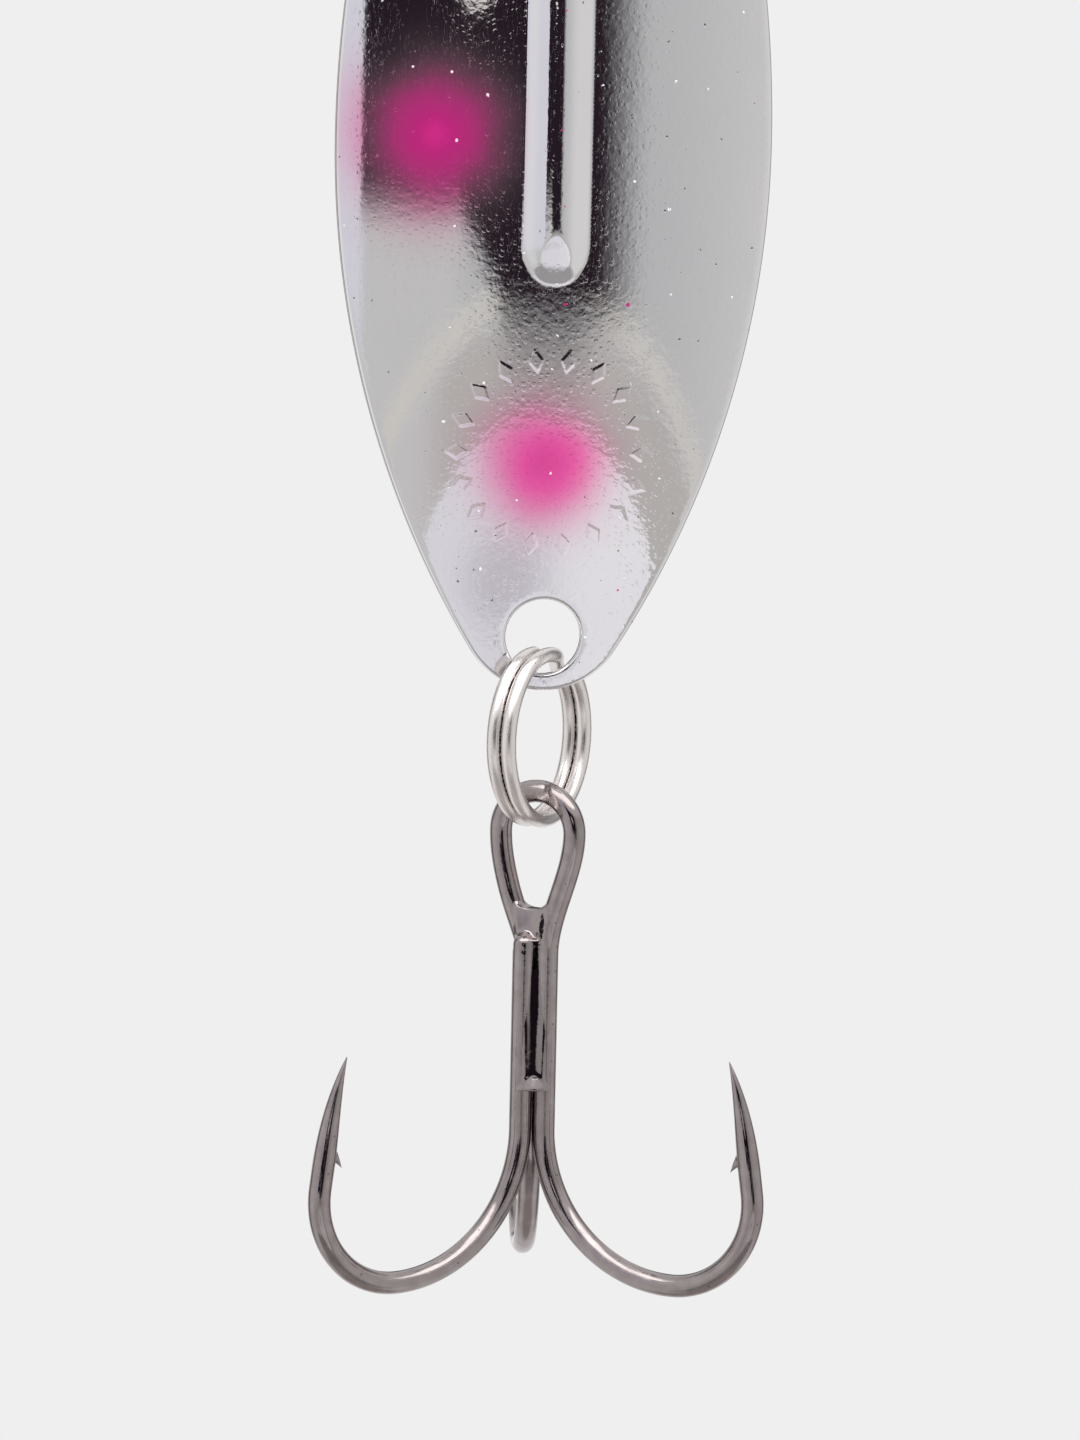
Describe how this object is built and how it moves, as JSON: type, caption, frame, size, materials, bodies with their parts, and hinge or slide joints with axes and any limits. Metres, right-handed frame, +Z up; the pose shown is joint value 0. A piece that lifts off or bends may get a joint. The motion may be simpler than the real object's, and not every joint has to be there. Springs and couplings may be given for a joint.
{
  "type": "spoon lure",
  "caption": "Bowed metal casting spoon with a raised rib and soft airbrushed spots, carried by a nose split ring, with a treble hook swinging from a tail split ring",
  "frame": {"origin": "the line tie: the top of the inside of the nose split ring, where the line pulls", "axes": "+Z up along the hanging lure, nose up; X across the blade, to the right seen from the front; the convex, painted front looks along -Y"},
  "size_m": [0.0239, 0.0214, 0.1021],
  "materials": {
    "blade_chrome": "bright plated metal with airbrushed pink spots",
    "ring_nickel": "bright nickel-plated spring steel",
    "hook_black_nickel": "polished black nickel over high-carbon steel",
    "braze_black_nickel": "smooth braze under the same black nickel"
  },
  "bodies": {
    "nose_ring": {"nose_split_ring": "ring_nickel"},
    "spoon": {"blade": "blade_chrome"},
    "tail_ring": {"tail_split_ring": "ring_nickel"},
    "treble": {"double_hook": "hook_black_nickel", "single_hook": "hook_black_nickel", "braze": "braze_black_nickel"}
  },
  "joints": [
    {"name": "blade_swing", "type": "hinge", "parent": "nose_ring", "child": "spoon", "pos_m": [0, 0, -0.00695], "axis": [1, 0, 0], "range_deg": [-75, 90]},
    {"name": "tail_ring_swing", "type": "hinge", "parent": "spoon", "child": "tail_ring", "pos_m": [0, -0.0001, -0.06935], "axis": [0.8434, -0.5373, 0], "range_deg": [-75, 75]},
    {"name": "treble_swing", "type": "hinge", "parent": "tail_ring", "child": "treble", "pos_m": [0, 0, -0.0771], "axis": [0.5373, 0.8434, 0], "range_deg": [-90, 90]}
  ]
}
